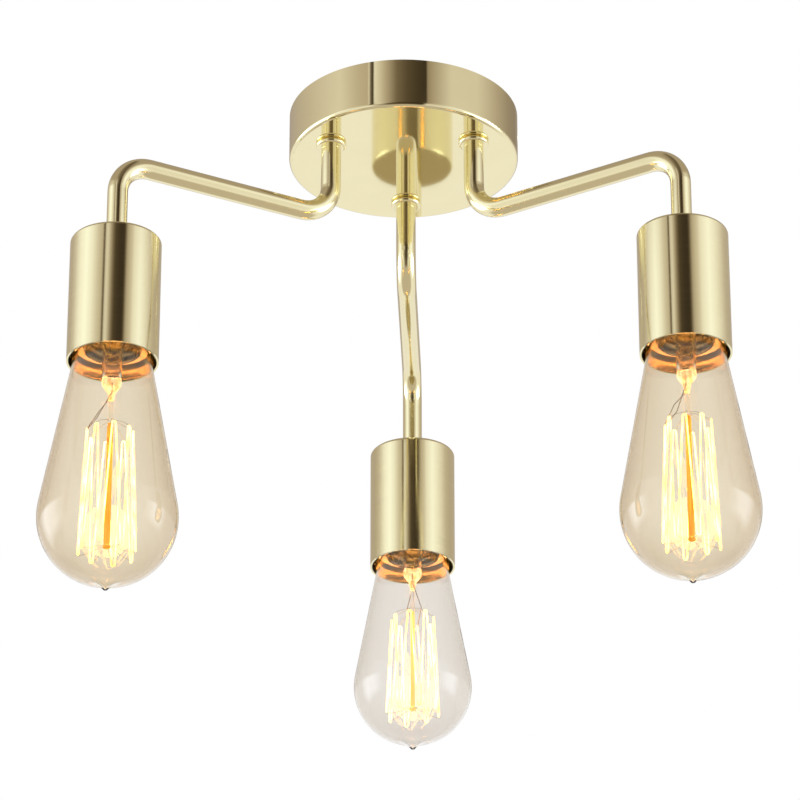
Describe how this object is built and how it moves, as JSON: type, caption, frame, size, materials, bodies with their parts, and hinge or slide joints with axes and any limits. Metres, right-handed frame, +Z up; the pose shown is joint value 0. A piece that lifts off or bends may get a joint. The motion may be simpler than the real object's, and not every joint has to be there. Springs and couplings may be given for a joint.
{
  "type": "semi flush ceiling light",
  "caption": "Semi flush ceiling light: a round canopy, bent tube arms set evenly round it, and an open cylindrical lamp cup with a bare screw-in filament bulb on each.",
  "frame": {"origin": "centre of the ceiling plane, on the top face of the bracket strap and level with the canopy's rim", "axes": "+Z up into the ceiling, +X along the bracket strap and the fitting's widest span, +Y towards the clear-bulb arm"},
  "size_m": [0.3234, 0.2856, 0.2831],
  "materials": {
    "polished_brass": "bright polished, clear lacquered",
    "satin_brass": "satin, turned with fine rings",
    "contact_brass": "bare brass contact parts",
    "cap_metal": "rolled screw cap, bright nickel look",
    "zinc_steel": "bright zinc plate",
    "ivory_plastic": "moulded ivory",
    "phenolic": "dark brown moulded",
    "lead_sleeving": "plain insulated single leads",
    "black_glass": "fused black glass",
    "amber_glass": "clear glass with an amber tint",
    "clear_glass": "clear",
    "stem_glass": "clear, drawn and pinched",
    "tungsten": "glowing drawn wire",
    "support_wire": "fine drawn wire"
  },
  "bodies": {
    "fitting": {"canopy": "polished_brass", "mounting_bracket": "zinc_steel", "canopy_screws": "polished_brass", "terminal_block": "ivory_plastic", "terminal_inserts": "contact_brass", "terminal_screws": "zinc_steel", "block_screws": "zinc_steel", "earth_screw": "contact_brass", "arm_washers": "zinc_steel", "arm_nuts": "zinc_steel", "cup_nuts": "zinc_steel", "left_arm": "polished_brass", "left_arm_collar": "polished_brass", "left_cup": "satin_brass", "left_lampholder_cap": "phenolic", "left_lampholder_body": "phenolic", "left_threaded_sleeve": "contact_brass", "left_centre_contact": "contact_brass", "left_terminal_posts": "contact_brass", "left_leads": "lead_sleeving", "right_arm": "polished_brass", "right_arm_collar": "polished_brass", "right_cup": "satin_brass", "right_lampholder_cap": "phenolic", "right_lampholder_body": "phenolic", "right_threaded_sleeve": "contact_brass", "right_centre_contact": "contact_brass", "right_terminal_posts": "contact_brass", "right_leads": "lead_sleeving", "rear_arm": "polished_brass", "rear_arm_collar": "polished_brass", "rear_cup": "satin_brass", "rear_lampholder_cap": "phenolic", "rear_lampholder_body": "phenolic", "rear_threaded_sleeve": "contact_brass", "rear_centre_contact": "contact_brass", "rear_terminal_posts": "contact_brass", "rear_leads": "lead_sleeving"},
    "left_bulb_contact": {"left_bulb_eyelet": "cap_metal"},
    "left_bulb": {"left_bulb_glass": "amber_glass", "left_bulb_cap": "cap_metal", "left_bulb_insulator": "black_glass", "left_bulb_stem": "stem_glass", "left_bulb_filament": "tungsten", "left_filament_supports": "support_wire"},
    "right_bulb_contact": {"right_bulb_eyelet": "cap_metal"},
    "right_bulb": {"right_bulb_glass": "amber_glass", "right_bulb_cap": "cap_metal", "right_bulb_insulator": "black_glass", "right_bulb_stem": "stem_glass", "right_bulb_filament": "tungsten", "right_filament_supports": "support_wire"},
    "rear_bulb_contact": {"rear_bulb_eyelet": "cap_metal"},
    "rear_bulb": {"rear_bulb_glass": "clear_glass", "rear_bulb_cap": "cap_metal", "rear_bulb_insulator": "black_glass", "rear_bulb_stem": "stem_glass", "rear_bulb_filament": "tungsten", "rear_filament_supports": "support_wire"}
  },
  "joints": [
    {"name": "left_bulb_travel", "type": "slide", "parent": "fitting", "child": "left_bulb_contact", "axis": [0, 0, -1], "range_m": [0, 0.0182]},
    {"name": "left_bulb_turn", "type": "hinge", "parent": "left_bulb_contact", "child": "left_bulb", "pos_m": [-0.1299, -0.075, -0.16], "axis": [0, 0, -1], "range_deg": [0, 1800]},
    {"name": "right_bulb_travel", "type": "slide", "parent": "fitting", "child": "right_bulb_contact", "axis": [0, 0, -1], "range_m": [0, 0.0182]},
    {"name": "right_bulb_turn", "type": "hinge", "parent": "right_bulb_contact", "child": "right_bulb", "pos_m": [0.1299, -0.075, -0.16], "axis": [0, 0, -1], "range_deg": [0, 1800]},
    {"name": "rear_bulb_travel", "type": "slide", "parent": "fitting", "child": "rear_bulb_contact", "axis": [0, 0, -1], "range_m": [0, 0.0182]},
    {"name": "rear_bulb_turn", "type": "hinge", "parent": "rear_bulb_contact", "child": "rear_bulb", "pos_m": [0, 0.15, -0.16], "axis": [0, 0, -1], "range_deg": [0, 1800]}
  ],
  "couplings": [
    {"joint": "left_bulb_travel", "follows": "left_bulb_turn", "m_per_rad": 0.00057757},
    {"joint": "right_bulb_travel", "follows": "right_bulb_turn", "m_per_rad": 0.00057757},
    {"joint": "rear_bulb_travel", "follows": "rear_bulb_turn", "m_per_rad": 0.00057757}
  ]
}
